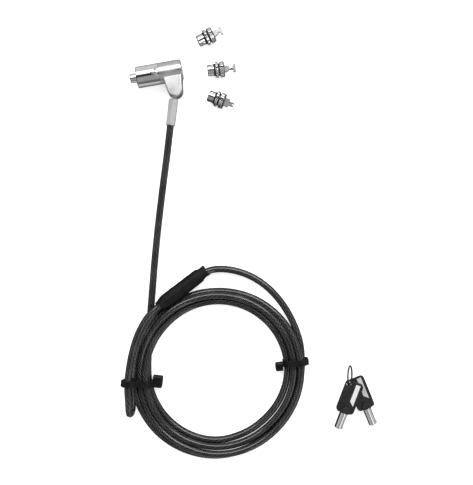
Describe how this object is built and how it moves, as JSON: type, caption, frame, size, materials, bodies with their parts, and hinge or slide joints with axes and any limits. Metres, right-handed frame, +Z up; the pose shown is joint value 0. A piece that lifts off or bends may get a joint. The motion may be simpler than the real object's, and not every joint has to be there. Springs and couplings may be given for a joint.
{
  "type": "laptop cable lock",
  "caption": "Keyed cable lock for a laptop: swivelling lock head on a coated steel cable with an anchor eye, with interchangeable slot tips and tubular keys.",
  "frame": {"origin": "on the table, below the middle of the box of the lock head, the three tips and the keys", "axes": "+Z up from the table, +Y from the coil of cable towards the lock head, +X to the right of that, the picture being taken from above"},
  "size_m": [0.2022, 0.3433, 0.0195],
  "materials": {
    "satin_steel": "satin",
    "chrome": "polished",
    "dark_metal": "satin",
    "brass": "satin",
    "jacket": "glossy clear sleeve over dark strands",
    "black_nylon": "matte",
    "sleeve_black": "matte shrunk tube",
    "bow_black": "fine matte",
    "label_white": "matte paint",
    "ring_black": "matte"
  },
  "bodies": {
    "cable": {"cable_lead": "jacket", "cable_coil": "jacket", "cable_tail": "jacket", "cable_eye": "jacket", "heat_shrink_sleeve": "sleeve_black", "crimp_barrel": "satin_steel", "left_tie_strap": "black_nylon", "left_tie_head": "black_nylon", "right_tie_strap": "black_nylon", "right_tie_head": "black_nylon", "ferrule": "satin_steel", "pivot_pin": "chrome"},
    "yoke": {"swivel_yoke": "satin_steel"},
    "head": {"lock_body": "chrome", "nose_rim": "chrome", "index_stud": "chrome", "cross_pin": "dark_metal", "plug_spring": "satin_steel"},
    "plug": {"plug_sleeve": "dark_metal", "pin_block": "brass", "driver_pins": "brass", "pin_springs": "satin_steel"},
    "rotor": {"plug_rotor": "chrome", "tumbler_pins": "brass"},
    "spindle": {"drive_spindle": "satin_steel"},
    "ring": {"key_ring": "satin_steel"},
    "front_key": {"front_key_bow": "bow_black", "front_key_barrel": "chrome", "front_key_label": "label_white"},
    "back_key": {"back_key_bow": "bow_black", "back_key_barrel": "chrome", "back_key_label": "label_white"},
    "tip_3": {"tip_3_base": "chrome", "tip_3_rear_disc": "chrome", "tip_3_front_disc": "chrome", "tip_3_rings": "ring_black", "tip_3_washer": "dark_metal", "tip_3_guard": "chrome"},
    "tip_3_blade": {"tip_3_wedge": "chrome"},
    "tip_1": {"tip_1_base": "chrome", "tip_1_rear_disc": "chrome", "tip_1_front_disc": "chrome", "tip_1_rings": "ring_black", "tip_1_washer": "dark_metal", "tip_1_guard": "chrome"},
    "tip_1_bar": {"tip_1_t_bar": "chrome"},
    "tip_2": {"tip_2_base": "chrome", "tip_2_rear_disc": "chrome", "tip_2_front_disc": "chrome", "tip_2_rings": "ring_black", "tip_2_washer": "dark_metal", "tip_2_guard": "chrome"},
    "tip_2_bar": {"tip_2_t_bar": "chrome"}
  },
  "joints": [
    {"name": "lug_pivot", "type": "hinge", "parent": "cable", "child": "yoke", "pos_m": [-0.06179, 0.10956, 0.0084], "axis": [0, 0, 1], "range_deg": [-80, 63]},
    {"name": "head_swivel", "type": "hinge", "parent": "yoke", "child": "head", "pos_m": [-0.06422, 0.12334, 0.0084], "axis": [0.9848, 0.1736, 0], "continuous": true},
    {"name": "plug_push", "type": "slide", "parent": "head", "child": "plug", "axis": [0.9848, 0.1736, 0], "range_m": [0, 0.004], "stiffness_N_per_m": 300, "springref_m": -0.001, "deforming": ["plug_spring"]},
    {"name": "key_turn", "type": "hinge", "parent": "plug", "child": "rotor", "pos_m": [-0.09367, 0.11815, 0.0084], "axis": [0.9848, 0.1736, 0], "range_deg": [0, 90]},
    {"name": "spindle_turn", "type": "hinge", "parent": "head", "child": "spindle", "pos_m": [-0.07594, 0.12128, 0.0084], "axis": [0.9848, 0.1736, 0], "range_deg": [0, 90]},
    {"name": "ring_lift", "type": "slide", "parent": "cable", "child": "ring", "axis": [0, 0, 1], "range_m": [0, 0.05]},
    {"name": "front_key_swing", "type": "hinge", "parent": "ring", "child": "front_key", "pos_m": [0.07511, -0.12227, 0.01033], "axis": [-0.0597, -0.1796, 0.9819], "range_deg": [-45, 0]},
    {"name": "back_key_swing", "type": "hinge", "parent": "ring", "child": "back_key", "pos_m": [0.07721, -0.12273, 0.00513], "axis": [0.019, -0.0464, 0.9987], "range_deg": [0, 50]},
    {"name": "tip_1_lift", "type": "slide", "parent": "cable", "child": "tip_1", "axis": [0, 0, 1], "range_m": [0, 0.05]},
    {"name": "tip_2_lift", "type": "slide", "parent": "cable", "child": "tip_2", "axis": [0, 0, 1], "range_m": [0, 0.05]},
    {"name": "tip_3_lift", "type": "slide", "parent": "cable", "child": "tip_3", "axis": [0, 0, 1], "range_m": [0, 0.05]},
    {"name": "tip_1_bar_turn", "type": "hinge", "parent": "tip_1", "child": "tip_1_bar", "pos_m": [-0.03471, 0.15188, 0.00625], "axis": [0.8988, 0.4384, 0], "range_deg": [0, 90]},
    {"name": "tip_2_bar_turn", "type": "hinge", "parent": "tip_2", "child": "tip_2_bar", "pos_m": [-0.02615, 0.12548, 0.00625], "axis": [0.9952, 0.0976, 0], "range_deg": [0, 90]},
    {"name": "tip_3_blade_push", "type": "slide", "parent": "tip_3", "child": "tip_3_blade", "axis": [0.9311, -0.3649, 0], "range_m": [0, 0.0015]}
  ],
  "couplings": [
    {"joint": "spindle_turn", "follows": "key_turn", "ratio": 1}
  ]
}
